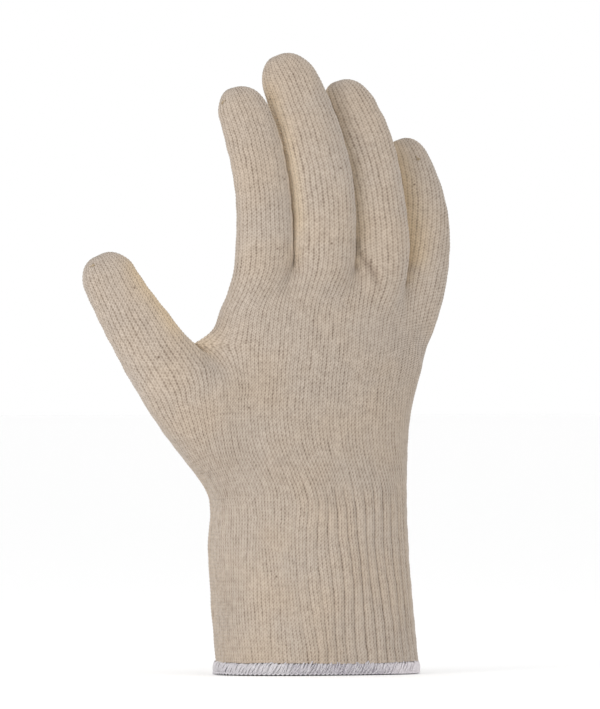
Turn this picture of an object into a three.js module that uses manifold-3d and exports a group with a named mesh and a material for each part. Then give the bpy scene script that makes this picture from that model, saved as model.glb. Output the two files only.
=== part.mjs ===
// Fine knit work glove for the right hand, in its worn shape.
// Millimetres. +Z runs from the wrist to the fingertips, +X towards the little finger, and the
// back of the hand faces -Y. The origin is the centre of the wrist opening.
import * as THREE from 'three';
import { mergeVertices } from 'three/addons/utils/BufferGeometryUtils.js';
import Module from 'manifold-3d';

const wasm = await Module();
wasm.setup();

// Fabric
const knitWall = 1.5;
const joinGap = 0.3;
const fingerGap = 0.4;
const indexGap = 0.6;
const littleTuck = 2.6;

// Wrist
const hemHeight = 5;
const hemOverhang = 0.8;
const hemLip = 0.5;
const cuffLength = 65;
const cuffWidth = 84.6;
const cuffDepth = 47;
const ribPitch = 4.3;
const ribRelief = 0.5;

// Hand body
const palmLength = 98;
const palmDepth = 30;

// Digits: each length runs from the digit's root to the end of its tip
const indexLength = 74;
const indexWidth = 23.2;
const middleLength = 85.5;
const middleWidth = 26.8;
const ringLength = 81.5;
const ringWidth = 24.2;
const littleLength = 68;
const littleWidth = 19.8;
const thumbLength = 52;
const thumbWidth = 29;
const fingerDepthShare = 0.66;
const thumbDepthShare = 0.8;

// Stems: the part of a digit's form that runs down into the hand body
const fingerStemShare = 0.42;
const fingerStemLean = 13;
const fingerStemCurl = 4;
const thumbStemShare = 0.7;

// Facets
const palmSides = 40;
const digitSides = 24;
const hemSides = 44;
const domeSteps = 3;
// Share of a dome's step that is left flat at its top
const domeFlat = 0.35;
const centreSteps = 24;

// Exponent of the oval sections: 2 is an ellipse, and more is squarer
const squareness = 2.25;

const knuckleWidth = indexWidth + indexGap + middleWidth + fingerGap + ringWidth + littleWidth - littleTuck;
const wristHeight = hemHeight + cuffLength;

// Rows up the cuff. up: share of cuffLength. wide, deep: shares of cuffWidth and cuffDepth.
// side: share of cuffWidth that the centre lies towards the little finger.
// rib: share of ribRelief.
const CUFF_ROWS = [
  { up: 0, wide: 1, deep: 1, side: 0.002, rib: 0.9 },
  { up: 0.25, wide: 0.995, deep: 0.99, side: -0.016, rib: 1 },
  { up: 0.5, wide: 0.986, deep: 0.97, side: -0.029, rib: 1 },
  { up: 0.8, wide: 0.976, deep: 0.95, side: -0.043, rib: 0.8 },
  { up: 1, wide: 0.97, deep: 0.94, side: -0.047, rib: 0.3 },
];

// Rows up the hand body, above the cuff. up: share of palmLength. wide, side: shares of
// knuckleWidth. deep, back: shares of palmDepth, back being the centre's place along Y.
// slope, arch: shares of palmLength by which a section drops towards the little finger, and
// towards both edges. turn, bow: shares of palmDepth by which the little-finger edge, and both
// edges, lie nearer the palm of the hand.
const PALM_ROWS = [
  {
    up: 0.2, wide: 0.886, deep: 1.36, side: -0.031, back: 0,
    slope: 0, arch: 0, turn: 0, bow: 0,
  },
  {
    up: 0.4, wide: 0.925, deep: 1.18, side: -0.006, back: 0,
    slope: -0.01, arch: 0.01, turn: 0.02, bow: 0.03,
  },
  {
    up: 0.6, wide: 0.968, deep: 1.03, side: 0.018, back: -0.02,
    slope: -0.03, arch: 0.05, turn: 0.06, bow: 0.08,
  },
  {
    up: 0.78, wide: 0.995, deep: 0.89, side: 0.04, back: -0.05,
    slope: -0.055, arch: 0.11, turn: 0.1, bow: 0.14,
  },
  {
    up: 0.9, wide: 1.004, deep: 0.72, side: 0.072, back: -0.07,
    slope: -0.07, arch: 0.145, turn: 0.13, bow: 0.18,
  },
  {
    up: 0.97, wide: 0.98, deep: 0.54, side: 0.095, back: -0.08,
    slope: -0.076, arch: 0.155, turn: 0.14, bow: 0.2,
  },
];
const KNUCKLE_ROW = { up: 1, side: 0.115, back: -0.08, slope: -0.076, arch: 0.155, turn: 0.14, bow: 0.2 };

// Rows up the thumb's side of the hand body, whose last row is the web between thumb and hand.
// Columns as above; slope is the rise towards the hand.
const THENAR_ROWS = [
  { up: 0.16, wide: 0.965, deep: 1.34, side: -0.11, back: 0, slope: 0.01 },
  { up: 0.31, wide: 1, deep: 1.17, side: -0.178, back: 0.01, slope: 0.05 },
  { up: 0.46, wide: 0.9, deep: 0.98, side: -0.3, back: 0.05, slope: 0.12 },
  { up: 0.625, wide: 0.54, deep: 0.7, side: -0.535, back: 0.13, slope: 0.17 },
];

// Rows along a digit. along: share of its length. wide, deep: shares of its width and depth.
const FINGER_ROWS = [
  { along: 0, wide: 1, deep: 1 },
  { along: 0.22, wide: 0.985, deep: 0.98 },
  { along: 0.45, wide: 0.975, deep: 0.97 },
  { along: 0.66, wide: 0.95, deep: 0.94 },
  { along: 0.835, wide: 0.89, deep: 0.89 },
];
const THUMB_ROWS = [
  { along: 0, wide: 1, deep: 1 },
  { along: 0.25, wide: 0.91, deep: 0.93 },
  { along: 0.5, wide: 0.82, deep: 0.86 },
  { along: 0.77, wide: 0.77, deep: 0.8 },
];

// Rows down a digit's stem inside the hand body. down: share of the stem's length.
const FINGER_STEM_ROWS = [
  { down: 0, wide: 1, deep: 1 },
  { down: 0.45, wide: 0.95, deep: 1 },
  { down: 1, wide: 0.6, deep: 0.6 },
];
const THUMB_STEM_ROWS = [
  { down: 0, wide: 1, deep: 1 },
  { down: 0.4, wide: 0.98, deep: 0.98 },
  { down: 1, wide: 0.8, deep: 0.8 },
];

// The digits. before: the gap between a finger's root and the finger before it. lean, curl:
// degrees at the root and at the tip, towards the little finger and towards the palm of the hand.
const FINGERS = [
  {
    name: 'index_finger',
    before: 0,
    length: indexLength,
    width: indexWidth,
    lean: [6, -13],
    curl: [3, 30],
  },
  {
    name: 'middle_finger',
    before: indexGap,
    length: middleLength,
    width: middleWidth,
    lean: [7, -19],
    curl: [10, 31],
  },
  {
    name: 'ring_finger',
    before: fingerGap,
    length: ringLength,
    width: ringWidth,
    lean: [6, -13],
    curl: [12, 34],
  },
  {
    name: 'little_finger',
    before: -littleTuck,
    length: littleLength,
    width: littleWidth,
    lean: [21, -13],
    curl: [16, 36],
  },
];
const THUMB = {
  name: 'thumb',
  length: thumbLength,
  width: thumbWidth,
  depth: thumbWidth * thumbDepthShare,
  lean: [-33, -22],
  curl: [10, 20],
  stem: thumbLength * thumbStemShare,
  stemLean: -34,
  stemCurl: 6,
  rows: THUMB_ROWS,
  stemRows: THUMB_STEM_ROWS,
};
// The thumb's root. side: share of knuckleWidth. back: share of palmDepth. up: share of palmLength.
const THUMB_ROOT = { side: -0.7, back: 0.13, up: 0.55 };

// The hem's profile. up: share of its height. out: share of its overhang and of its lip.
const HEM_ROWS = [
  { up: 0, out: 0.35 },
  { up: 0.15, out: 0.85 },
  { up: 0.5, out: 1 },
  { up: 0.85, out: 0.85 },
  { up: 1, out: 0.35 },
];

/** Columns of a table read as smooth curves over its first column. */
function smoothTable(rows) {
  const [keyName, ...columns] = Object.keys(rows[0]);
  const keys = rows.map((row) => row[keyName]);
  const values = rows.flatMap((row) => columns.map((name) => row[name]));
  const curve = new THREE.CubicInterpolant(keys, values, columns.length);
  return (key) => {
    const reading = Array.from(curve.evaluate(key));
    return Object.fromEntries(columns.map((name, index) => [name, reading[index]]));
  };
}

/** Points evenly spaced round a slightly squared oval, starting at +X and turning to +Y. */
function evenOval(halfWide, halfDeep, count) {
  const fine = 16 * count;
  const outline = [];
  for (let step = 0; step < fine; step += 1) {
    const angle = (2 * Math.PI * step) / fine;
    const across = Math.sign(Math.cos(angle)) * Math.abs(Math.cos(angle)) ** (2 / squareness);
    const deep = Math.sign(Math.sin(angle)) * Math.abs(Math.sin(angle)) ** (2 / squareness);
    outline.push(new THREE.Vector3(halfWide * across, halfDeep * deep, 0));
  }
  const curve = new THREE.CurvePath();
  outline.forEach((point, index) => {
    curve.add(new THREE.LineCurve3(point, outline[(index + 1) % fine]));
  });
  return Array.from({ length: count }, (_, index) => curve.getPoint(index / count));
}

/** A closed solid through rings of equal counts, its ends closed by fans. */
function loftSolid(rings) {
  const count = rings[0].length;
  const points = rings.flat();
  const ends = [rings[0], rings[rings.length - 1]].map((ring) =>
    ring.reduce((sum, point) => sum.add(point), new THREE.Vector3()).divideScalar(count));
  const positions = [...points, ...ends].flatMap((point) => point.toArray());
  const indices = [];
  for (let row = 0; row < rings.length - 1; row += 1) {
    for (let side = 0; side < count; side += 1) {
      const next = (side + 1) % count;
      const low = row * count;
      const high = low + count;
      indices.push(low + side, low + next, high + next);
      indices.push(low + side, high + next, high + side);
    }
  }
  const last = (rings.length - 1) * count;
  for (let side = 0; side < count; side += 1) {
    const next = (side + 1) % count;
    indices.push(points.length, next, side);
    indices.push(points.length + 1, last + side, last + next);
  }
  const geometry = new THREE.BufferGeometry();
  geometry.setAttribute('position', new THREE.Float32BufferAttribute(positions, 3));
  geometry.setIndex(indices);
  return toSolid(geometry);
}

/** A copy of a ring, lowered. */
function dropped(ring, drop) {
  return ring.map((point) => point.clone().setZ(point.z - drop));
}

/** A loft that runs past both of its level ends by the knit's wall, to cut right through. */
function throughSolid(rings) {
  return loftSolid([dropped(rings[0], knitWall), ...rings, dropped(rings[rings.length - 1], -knitWall)]);
}

function toSolid(geometry) {
  const merged = mergeVertices(geometry);
  return new wasm.Manifold(new wasm.Mesh({
    numProp: 3,
    vertProperties: new Float32Array(merged.getAttribute('position').array),
    triVerts: new Uint32Array(merged.getIndex().array),
  }));
}

function toMesh(name, solid, colour) {
  const { vertProperties, triVerts } = solid.getMesh();
  const geometry = new THREE.BufferGeometry();
  geometry.setAttribute('position', new THREE.BufferAttribute(new Float32Array(vertProperties), 3));
  geometry.setIndex(new THREE.BufferAttribute(new Uint32Array(triVerts), 1));
  geometry.computeVertexNormals();
  const material = new THREE.MeshStandardMaterial({ color: colour, roughness: 0.95, metalness: 0 });
  const mesh = new THREE.Mesh(geometry, material);
  mesh.name = name;
  return mesh;
}

const cuffAt = smoothTable(CUFF_ROWS);

/** The cuff's section at a share of its length, as sizes in millimetres. */
function cuffSection(up) {
  const row = cuffAt(up);
  return {
    height: hemHeight + up * cuffLength,
    wide: row.wide * cuffWidth,
    deep: row.deep * cuffDepth,
    side: row.side * cuffWidth,
    rib: row.rib * ribRelief,
  };
}

/** A ring of the cuff, out from the knit's outer face by offset, with its ribs if ribbed. */
function cuffRing(up, offset, count, ribbed) {
  const section = cuffSection(up);
  const ring = evenOval(section.wide / 2, section.deep / 2, count);
  return ring.map((point, index) => {
    const outward = point.clone().normalize();
    const ribSide = 0.5 + 0.5 * (point.x / section.wide);
    const ribStep = ribbed && index % 2 === 1 ? section.rib * (0.5 + ribSide) : 0;
    const placed = point.clone().addScaledVector(outward, offset - ribStep);
    return placed.add(new THREE.Vector3(section.side, 0, section.height));
  });
}

// The hand body's rows begin with the top of the cuff, so that both follow the same wrist.
const wrist = cuffSection(1);
const wristRow = {
  up: 0,
  wide: wrist.wide / knuckleWidth,
  deep: wrist.deep / palmDepth,
  side: wrist.side / knuckleWidth,
  back: 0,
  slope: 0,
  arch: 0,
  turn: 0,
  bow: 0,
};
const palmAt = smoothTable([wristRow, ...PALM_ROWS]);
const palmTop = PALM_ROWS[PALM_ROWS.length - 1].up;

/** Moves a point of a level section to its place on the hand body's sloped and bowed section. */
function handPlace(row, x, y) {
  const across = x / (knuckleWidth / 2);
  return new THREE.Vector3(
    row.side * knuckleWidth + x,
    palmDepth * (row.back + row.turn * across + row.bow * across ** 2) + y,
    wristHeight + palmLength * (row.up + row.slope * across - row.arch * across ** 2),
  );
}

function palmRing(up, inset) {
  const row = { up, ...palmAt(up) };
  const halfWide = (row.wide * knuckleWidth) / 2 - inset;
  const halfDeep = (row.deep * palmDepth) / 2 - inset;
  return evenOval(halfWide, halfDeep, palmSides).map((point) => handPlace(row, point.x, point.y));
}

/** The hand body without its digits, inset from its outer face, from just below the wrist line. */
function palmSolid(inset) {
  const ups = [0, ...PALM_ROWS.map((row) => row.up).slice(0, -1), palmTop - inset / palmLength];
  const rings = ups.map((up) => palmRing(up, inset));
  return loftSolid([dropped(rings[0], inset + joinGap), ...rings]);
}

/** The thumb's side of the hand body up to the web, inset from its outer face. */
function thenarSolid(inset) {
  const last = THENAR_ROWS.length;
  const rings = [wristRow, ...THENAR_ROWS].map((row, index) => {
    const halfWide = (row.wide * knuckleWidth) / 2;
    const halfDeep = (row.deep * palmDepth) / 2;
    const sink = index === last ? inset : 0;
    return evenOval(halfWide - inset, halfDeep - inset, palmSides).map((point) => new THREE.Vector3(
      row.side * knuckleWidth + point.x,
      row.back * palmDepth + point.y,
      wristHeight + palmLength * (row.up + (row.slope * point.x) / halfWide) - sink,
    ));
  });
  return loftSolid([dropped(rings[0], inset + joinGap), ...rings]);
}

/** Axes of a digit that leans and curls by these degrees. */
function directionFrame(leanDegrees, curlDegrees) {
  const lean = THREE.MathUtils.degToRad(leanDegrees);
  const curl = THREE.MathUtils.degToRad(curlDegrees);
  const forward = new THREE.Vector3(
    Math.sin(lean) * Math.cos(curl),
    Math.sin(curl),
    Math.cos(lean) * Math.cos(curl),
  );
  const across = new THREE.Vector3(Math.cos(lean), 0, -Math.sin(lean));
  const deep = new THREE.Vector3().crossVectors(forward, across);
  return { forward, across, deep };
}

/** Place and axes of a digit's centre line, at a distance past its root. */
function digitStation(digit, distance) {
  const frameAt = (reach) => {
    const share = THREE.MathUtils.clamp(reach / digit.length, 0, 1);
    return directionFrame(
      THREE.MathUtils.lerp(digit.lean[0], digit.lean[1], share),
      THREE.MathUtils.lerp(digit.curl[0], digit.curl[1], share),
    );
  };
  const place = digit.place.clone();
  const count = Math.max(1, Math.ceil((centreSteps * distance) / digit.length));
  for (let index = 0; index < count; index += 1) {
    const middle = (distance * (index + 0.5)) / count;
    place.addScaledVector(frameAt(middle).forward, distance / count);
  }
  return { place, ...frameAt(distance) };
}

/** Place and axes of a digit's stem, at a distance below its root. */
function stemStation(digit, distance) {
  const frame = directionFrame(digit.stemLean, digit.stemCurl);
  return { place: digit.place.clone().addScaledVector(frame.forward, -distance), ...frame };
}

function stationRing({ place, across, deep }, halfWide, halfDeep) {
  return evenOval(halfWide, halfDeep, digitSides).map((point) =>
    place.clone().addScaledVector(across, point.x).addScaledVector(deep, point.y));
}

/** A digit from its root to its rounded tip, inset from its outer face. */
function digitSolid(digit, start, inset) {
  const readRow = smoothTable(digit.rows);
  const lastRow = digit.rows[digit.rows.length - 1];
  const domeBase = lastRow.along * digit.length;
  const distances = [start, ...digit.rows.slice(1).map((row) => row.along * digit.length)];
  const rings = distances.map((distance) => {
    const row = readRow(Math.max(distance, 0) / digit.length);
    const halfWide = (row.wide * digit.width) / 2 - inset;
    const halfDeep = (row.deep * digit.depth) / 2 - inset;
    return stationRing(digitStation(digit, distance), halfWide, halfDeep);
  });
  const domeReach = digit.length - domeBase - inset;
  for (let step = 1; step <= domeSteps; step += 1) {
    const angle = (step / (domeSteps + domeFlat)) * (Math.PI / 2);
    const halfWide = ((lastRow.wide * digit.width) / 2 - inset) * Math.cos(angle);
    const halfDeep = ((lastRow.deep * digit.depth) / 2 - inset) * Math.cos(angle);
    const station = digitStation(digit, domeBase + domeReach * Math.sin(angle));
    rings.push(stationRing(station, halfWide, halfDeep));
  }
  return loftSolid(rings);
}

/** The part of a digit that runs down into the hand body, ending at a distance past the root. */
function stemSolid(digit, end, inset) {
  const rings = [...digit.stemRows].reverse().map((row) => {
    const halfWide = (row.wide * digit.width) / 2 - inset;
    const halfDeep = (row.deep * digit.depth) / 2 - inset;
    const station = row.down === 0 ? digitStation(digit, end) : stemStation(digit, row.down * digit.stem);
    return stationRing(station, halfWide, halfDeep);
  });
  return loftSolid(rings);
}

// The fingers stand side by side on the knuckle line.
let slotEdge = -knuckleWidth / 2;
const fingers = FINGERS.map((finger) => {
  const centre = slotEdge + finger.before + finger.width / 2;
  slotEdge += finger.before + finger.width;
  return {
    ...finger,
    depth: finger.width * fingerDepthShare,
    place: handPlace(KNUCKLE_ROW, centre, 0),
    stem: finger.length * fingerStemShare,
    stemLean: fingerStemLean,
    stemCurl: fingerStemCurl,
    rows: FINGER_ROWS,
    stemRows: FINGER_STEM_ROWS,
  };
});
const thumb = {
  ...THUMB,
  place: new THREE.Vector3(
    THUMB_ROOT.side * knuckleWidth,
    THUMB_ROOT.back * palmDepth,
    wristHeight + THUMB_ROOT.up * palmLength,
  ),
};
const digits = [...fingers, thumb];

/** A block that holds everything higher than this far above the wrist line. */
function aboveWrist(rise) {
  const reach = palmLength + middleLength + knuckleWidth;
  const block = new THREE.BoxGeometry(2 * reach, 2 * reach, reach);
  block.deleteAttribute('normal');
  block.deleteAttribute('uv');
  block.translate(0, 0, wristHeight + rise + reach / 2);
  return toSolid(block);
}

/** A closed tube for one digit, open at its root. */
function buildDigit(digit) {
  const outer = digitSolid(digit, 0, 0);
  const hollow = digitSolid(digit, -knitWall, knitWall);
  return outer.subtract(hollow);
}

/** The hand body: a hollow shell with an open wrist and five open roots. */
function buildPalm() {
  const outer = digits
    .reduce((body, digit) => body.add(stemSolid(digit, -joinGap, 0)), palmSolid(0))
    .add(thenarSolid(0))
    .intersect(aboveWrist(joinGap));
  const hollow = digits
    .reduce((body, digit) => body.add(stemSolid(digit, knitWall, knitWall)), palmSolid(knitWall))
    .add(thenarSolid(knitWall));
  const room = digits
    .map((digit) => digitSolid(digit, -joinGap, -joinGap))
    .reduce((all, tube) => all.add(tube));
  return outer.subtract(hollow).subtract(room);
}

/** The ribbed tube of the wrist, open at both ends. */
function buildCuff() {
  const ring = evenOval(cuffWidth / 2, cuffDepth / 2, palmSides);
  const around = ring.reduce(
    (sum, point, index) => sum + point.distanceTo(ring[(index + 1) % palmSides]),
    0,
  );
  const ribSides = 2 * Math.round(around / ribPitch);
  const ups = CUFF_ROWS.map((row) => row.up);
  const outer = loftSolid(ups.map((up) => cuffRing(up, 0, ribSides, true)));
  const inner = ups.map((up) => cuffRing(up, -knitWall, palmSides, false));
  return outer.subtract(throughSolid(inner));
}

/** The overlocked edge: a rounded band round the wrist opening. */
function buildHem() {
  const bandRings = (offset, reach) => HEM_ROWS.map((row) => {
    const ring = cuffRing(0, offset + reach * row.out, hemSides, false);
    return ring.map((point) => point.clone().setZ(row.up * (hemHeight - joinGap)));
  });
  return loftSolid(bandRings(0, hemOverhang)).subtract(throughSolid(bandRings(-knitWall, -hemLip)));
}

const cottonColour = 0xd9cbb7;
const overlockColour = 0xe4e1e4;

const glove = new THREE.Group();
digits.forEach((digit) => glove.add(toMesh(digit.name, buildDigit(digit), cottonColour)));
glove.add(toMesh('palm', buildPalm(), cottonColour));
glove.add(toMesh('cuff', buildCuff(), cottonColour));
glove.add(toMesh('hem_overlock', buildHem(), overlockColour));

export default glove;
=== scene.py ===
# %% [markdown]
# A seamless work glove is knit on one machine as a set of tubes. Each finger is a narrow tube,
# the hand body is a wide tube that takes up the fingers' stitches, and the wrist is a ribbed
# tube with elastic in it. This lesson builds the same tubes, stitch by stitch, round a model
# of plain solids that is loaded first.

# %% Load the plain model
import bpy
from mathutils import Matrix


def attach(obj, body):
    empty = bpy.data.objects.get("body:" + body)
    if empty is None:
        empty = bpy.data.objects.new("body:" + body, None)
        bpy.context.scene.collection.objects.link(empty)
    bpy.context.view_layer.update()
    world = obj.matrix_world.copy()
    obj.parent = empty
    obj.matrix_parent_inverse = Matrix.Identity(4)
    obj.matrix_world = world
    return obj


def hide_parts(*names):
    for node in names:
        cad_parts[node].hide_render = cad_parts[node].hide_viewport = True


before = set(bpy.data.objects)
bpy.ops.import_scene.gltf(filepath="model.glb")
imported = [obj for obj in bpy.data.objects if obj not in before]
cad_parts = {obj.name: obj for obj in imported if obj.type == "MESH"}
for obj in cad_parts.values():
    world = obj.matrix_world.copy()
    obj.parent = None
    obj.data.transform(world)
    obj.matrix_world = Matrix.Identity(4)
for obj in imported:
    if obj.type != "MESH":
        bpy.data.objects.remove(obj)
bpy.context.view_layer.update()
print("nodes", sorted(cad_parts))

# %% [markdown]
# numpy works out where every stitch lies, in millimetres, and Blender's own tools make the
# meshes. Blender counts in metres, so MM turns one into the other.

# %% Tools
import math

import bpy
import numpy as np
from mathutils import Vector

MM = 0.001
print("Blender", bpy.app.version_string)


def ease(x):
    """From 0 to 1 as x goes, with level ends."""
    x = np.clip(x, 0, 1)
    return x * x * (3 - 2 * x)


def bell(x):
    """1 at 0, and next to nothing beyond 2."""
    return np.exp(-x ** 2)


def signed_power(x, power):
    return np.sign(x) * np.abs(x) ** power


def size_of(vectors):
    return np.linalg.norm(vectors, axis=-1)


def blurred(values, width, axis):
    """Values round a tube, each one the mean of its neighbours, to twice this many steps away."""
    steps = np.arange(-2 * width, 2 * width + 1)
    kernel = bell(steps / width)
    return sum(part * np.roll(values, step, axis=axis) for part, step in zip(kernel / kernel.sum(), steps))


# %% [markdown]
# All shapes follow a few named sizes, in millimetres, and short tables. The origin is the
# centre of the wrist opening, +Z runs to the fingertips, +X to the little finger, and the back
# of the hand faces -Y. A table's columns are shares of the named sizes.

# %% Sizes of the glove
HEM_HEIGHT = 5.0
CUFF_LENGTH = 65.0
CUFF_WIDTH = 84.6
CUFF_DEPTH = 47.0
PALM_LENGTH = 98.0
PALM_DEPTH = 30.0
WRIST_HEIGHT = HEM_HEIGHT + CUFF_LENGTH
FINGER_GAP = 0.4
INDEX_GAP = 0.6
LITTLE_TUCK = 2.6
KNIT_THICKNESS = 1.2
SQUARENESS = 2.25

DIGITS = ["index_finger", "middle_finger", "ring_finger", "little_finger", "thumb"]
FINGERS = DIGITS[:4]


def each(*values):
    """One value for each digit, in their order."""
    return dict(zip(DIGITS, values))


WIDTHS = each(23.2, 26.8, 24.2, 19.8, 29.0)
LENGTHS = each(73.3, 85.5, 81.8, 69.6, 50.6)
DEPTH_SHARES = each(0.66, 0.66, 0.66, 0.66, 0.8)
KNUCKLE_WIDTH = sum(WIDTHS[name] for name in FINGERS) + FINGER_GAP + INDEX_GAP - LITTLE_TUCK

# Degrees at root and tip: lean to the little-finger side, and curl towards the palm
LEANS = each((6, -13), (7, -19), (6, -14.5), (21, -16), (-33, -22))
CURLS = each((3, 30), (10, 31), (12, 34), (16, 36), (10, 20))

# How much narrower a tip gets, and how far a digit's wales turn round it on the way up
TIP_TAPERS = each(0.02, 0.08, 0, 0, 0.02)
TWISTS = each(0, 0, -0.02, 0.17, 0.03)

# A wale is a column of stitches and a course is a row. Each stitch is SPLIT by SPLIT faces.
WALES = each(32, 34, 28, 26, 36)
COURSE = 1.4
SPLIT = 4
RIB_WALES = 3
print("knuckles", round(KNUCKLE_WIDTH, 1), "mm wide, wales round the digits", WALES)

# %% [markdown]
# Sections are given at a few heights, as a tailor measures a hand: width, depth and how far the
# section lies to the side, as shares of the named sizes. The hand has a slope and a bow too.

# %% Tables of sections
CUFF_ROWS = {
    "up": (0, 0.25, 0.5, 0.8, 1),
    "wide": (1, 0.995, 0.986, 0.976, 0.97),
    "deep": (1, 0.99, 0.97, 0.95, 0.94),
    "side": (0.002, -0.016, -0.029, -0.043, -0.047),
}
PALM_ROWS = {
    "up": (0, 0.2, 0.4, 0.6, 0.78, 0.9, 1),
    "wide": (0.888, 0.886, 0.925, 0.968, 0.995, 1.004, 0.985),
    "deep": (1.473, 1.36, 1.18, 1.03, 0.89, 0.74, 0.6),
    "side": (-0.043, -0.031, -0.006, 0.018, 0.04, 0.072, 0.115),
    "back": (0, 0, 0, -0.02, -0.05, -0.07, -0.08),
    "slope": (0, 0, -0.01, -0.03, -0.055, -0.07, -0.076),
    "arch": (0, 0, 0.01, 0.05, 0.11, 0.145, 0.155),
    "turn": (0, 0, 0.02, 0.06, 0.1, 0.13, 0.14),
    "bow": (0, 0, 0.03, 0.08, 0.14, 0.18, 0.2),
}
HEEL_ROWS = {
    "up": (0, 0.16, 0.31, 0.47, 0.55, 0.65),
    "wide": (0.888, 1.017, 1.162, 1.317, 1.385, 1.45),
    "deep": (1.473, 1.36, 1.2, 1.05, 0.99, 0.93),
    "side": (-0.043, -0.098, -0.151, -0.191, -0.207, -0.22),
}
FINGER_ROWS = {
    "along": (0, 0.22, 0.45, 0.66, 0.835),
    "wide": (1, 0.985, 0.975, 0.95, 0.89),
    "deep": (1, 0.98, 0.97, 0.94, 0.89),
}
THUMB_ROWS = {
    "along": (0, 0.25, 0.5, 0.77),
    "wide": (1, 0.91, 0.82, 0.77),
    "deep": (1, 0.93, 0.86, 0.8),
}
print("sections of the wrist, hand and heel", [len(rows["up"]) for rows in (CUFF_ROWS, PALM_ROWS, HEEL_ROWS)])

# %% [markdown]
# A table read only at its rows would give a tube with rings of sharp edges. A natural cubic
# spline through the rows gives the smooth lines of stretched fabric instead.

# %% Smooth tables
def spline(keys, values):
    """A natural cubic spline through the values."""
    keys = np.asarray(keys, float)
    values = np.asarray(values, float)
    step = np.diff(keys)
    count = len(keys)
    matrix = np.eye(count)
    right = np.zeros(count)
    for i in range(1, count - 1):
        matrix[i, i - 1:i + 2] = step[i - 1], 2 * (step[i - 1] + step[i]), step[i]
        slopes = np.diff(values[i - 1:i + 2]) / step[i - 1:i + 1]
        right[i] = 6 * (slopes[1] - slopes[0])
    bend = np.linalg.solve(matrix, right)

    def read(x):
        x = np.asarray(x, float)
        i = np.clip(np.searchsorted(keys, x) - 1, 0, count - 2)
        h = step[i]
        a = (keys[i + 1] - x) / h
        b = (x - keys[i]) / h
        curve = ((a ** 3 - a) * bend[i] + (b ** 3 - b) * bend[i + 1]) * h ** 2 / 6
        return a * values[i] + b * values[i + 1] + curve

    return read


def smooth_table(table):
    names = list(table)
    return {name: spline(table[names[0]], table[name]) for name in names[1:]}


def both(column, cuff_size, heel_size):
    """A column of the wrist's table and then of the heel's, in millimetres."""
    return [v * cuff_size for v in CUFF_ROWS[column]] + [v * heel_size for v in HEEL_ROWS[column][1:]]


PALM = smooth_table(PALM_ROWS)
BODY = smooth_table({
    "height": [HEM_HEIGHT + up * CUFF_LENGTH for up in CUFF_ROWS["up"]]
    + [WRIST_HEIGHT + up * PALM_LENGTH for up in HEEL_ROWS["up"][1:]],
    "wide": both("wide", CUFF_WIDTH, KNUCKLE_WIDTH),
    "deep": both("deep", CUFF_DEPTH, PALM_DEPTH),
    "side": both("side", CUFF_WIDTH, KNUCKLE_WIDTH),
})
print("wrist, wide and deep", [BODY[key](WRIST_HEIGHT).round(1).item() for key in ("wide", "deep")], "mm")

# %% [markdown]
# Knit stretches evenly, so the wales lie evenly spaced round every section. The oval of a
# section is therefore walked by its length, from the little-finger side round by the palm of
# the hand.

# %% Evenly spaced ovals
def oval(half_wide, half_deep, turns):
    """Points on a slightly squared oval, at these shares of its length."""
    angle = np.linspace(0, 2 * np.pi, 1441)
    x = half_wide * signed_power(np.cos(angle), 2 / SQUARENESS)
    y = half_deep * signed_power(np.sin(angle), 2 / SQUARENESS)
    reach = np.concatenate([[0], np.cumsum(np.hypot(np.diff(x), np.diff(y)))])
    share = np.asarray(turns) * reach[-1]
    return np.interp(share, reach, x), np.interp(share, reach, y)


def body_oval(z, turns):
    """The section of the wrist and the heel at this height."""
    return oval(BODY["wide"](z) / 2, BODY["deep"](z) / 2, turns)


def hand_oval(up, turns):
    """The section of the hand at this share of the palm's length."""
    return oval(PALM["wide"](up) * KNUCKLE_WIDTH / 2, PALM["deep"](up) * PALM_DEPTH / 2, turns)


edge = np.stack(body_oval(WRIST_HEIGHT, np.linspace(0, 1, 361)), -1)
print("round the wrist", size_of(np.diff(edge, axis=0)).sum().round(), "mm")


# %% [markdown]
# The knuckles lie on a slope and on a bow: the little finger starts lower than the middle
# finger, and both edges of the hand lie deeper than its back. From its root each digit of a
# worn glove leans and curls a little, evenly along its length.

# %% Centre lines of the digits
def heading(lean, curl):
    """Unit vectors along, across and through a digit that leans and curls by these degrees."""
    lean, curl = np.radians(lean), np.radians(curl)
    along = np.stack([np.sin(lean) * np.cos(curl), np.sin(curl), np.cos(lean) * np.cos(curl)], -1)
    across = np.stack([np.cos(lean), np.zeros_like(lean), -np.sin(lean)], -1)
    return along, across, np.cross(along, across)


def bowed(up, a, x, y, height):
    """A point on the sloped and bowed hand; a is -1 and 1 at the edges of the knuckles."""
    return np.stack([
        x,
        PALM_DEPTH * (PALM["back"](up) + PALM["turn"](up) * a + PALM["bow"](up) * a ** 2) + y,
        WRIST_HEIGHT + PALM_LENGTH * (height + PALM["slope"](up) * a - PALM["arch"](up) * a ** 2),
    ], -1)


def hand_place(up, x, y):
    """A point of a level section at its place on the hand."""
    a = np.clip(x / (KNUCKLE_WIDTH / 2), -1.05, 1.05)
    return bowed(up, a, PALM["side"](up) * KNUCKLE_WIDTH + x, y, up)


ROOTS = {"thumb": np.array([-0.7 * KNUCKLE_WIDTH, 0.13 * PALM_DEPTH, WRIST_HEIGHT + 0.55 * PALM_LENGTH])}
slot_edge = -KNUCKLE_WIDTH / 2
for name, gap in zip(FINGERS, (0, INDEX_GAP, FINGER_GAP, -LITTLE_TUCK)):
    slot_edge += gap
    ROOTS[name] = hand_place(1.0, np.float64(slot_edge + WIDTHS[name] / 2), np.float64(0))
    slot_edge += WIDTHS[name]
print("roots", {name: ROOTS[name].round(1).tolist() for name in ROOTS})


def headings(name, share):
    """The axes of a digit at shares of its length."""
    lean, curl = (first + (last - first) * share for first, last in (LEANS[name], CURLS[name]))
    return heading(lean, curl)


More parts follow.
